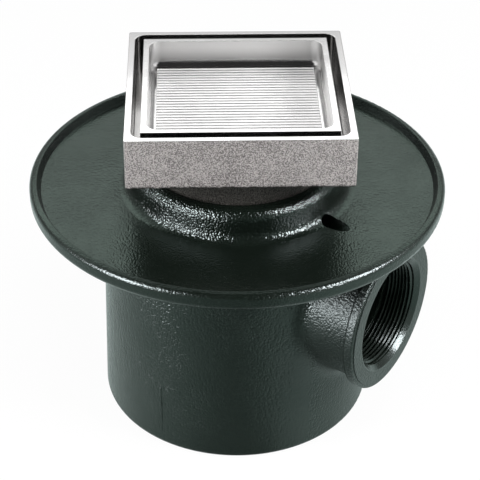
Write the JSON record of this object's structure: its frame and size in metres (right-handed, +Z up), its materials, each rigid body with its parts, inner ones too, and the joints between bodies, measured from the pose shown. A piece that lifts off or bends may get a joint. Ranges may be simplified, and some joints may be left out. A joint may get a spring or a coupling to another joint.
{
  "type": "floor drain",
  "caption": "Cast-iron trapped floor drain: flared bucket with threaded side outlet, wide lipped flange plate, round neck and a height-adjustable square head with a tile-in tray.",
  "frame": {"origin": "centre of the bucket's underside, on the vertical axis of the drain", "axes": "+Z up along the drain's axis towards the head; X and Y along the sides of the square head; the side outlet points to +X and -Y, 35 degrees off +X"},
  "size_m": [0.23, 0.23, 0.1983],
  "materials": {
    "black_enamelled_iron": "glossy green-black coating over a sand-cast surface",
    "nickel_bronze": "rough as-cast sides with a polished rim",
    "polished_nickel_bronze": "polished",
    "tube_plastic": "satin black",
    "seal_rubber": "matt black"
  },
  "bodies": {
    "body": {"drain_body": "black_enamelled_iron", "trap_seal": "seal_rubber", "trap_tube": "tube_plastic"},
    "head": {"strainer_head": "nickel_bronze", "tile_tray": "polished_nickel_bronze"}
  },
  "joints": [
    {"name": "head_height", "type": "slide", "parent": "body", "child": "head", "axis": [0, 0, 1], "range_m": [-0.013, 0.006]}
  ]
}
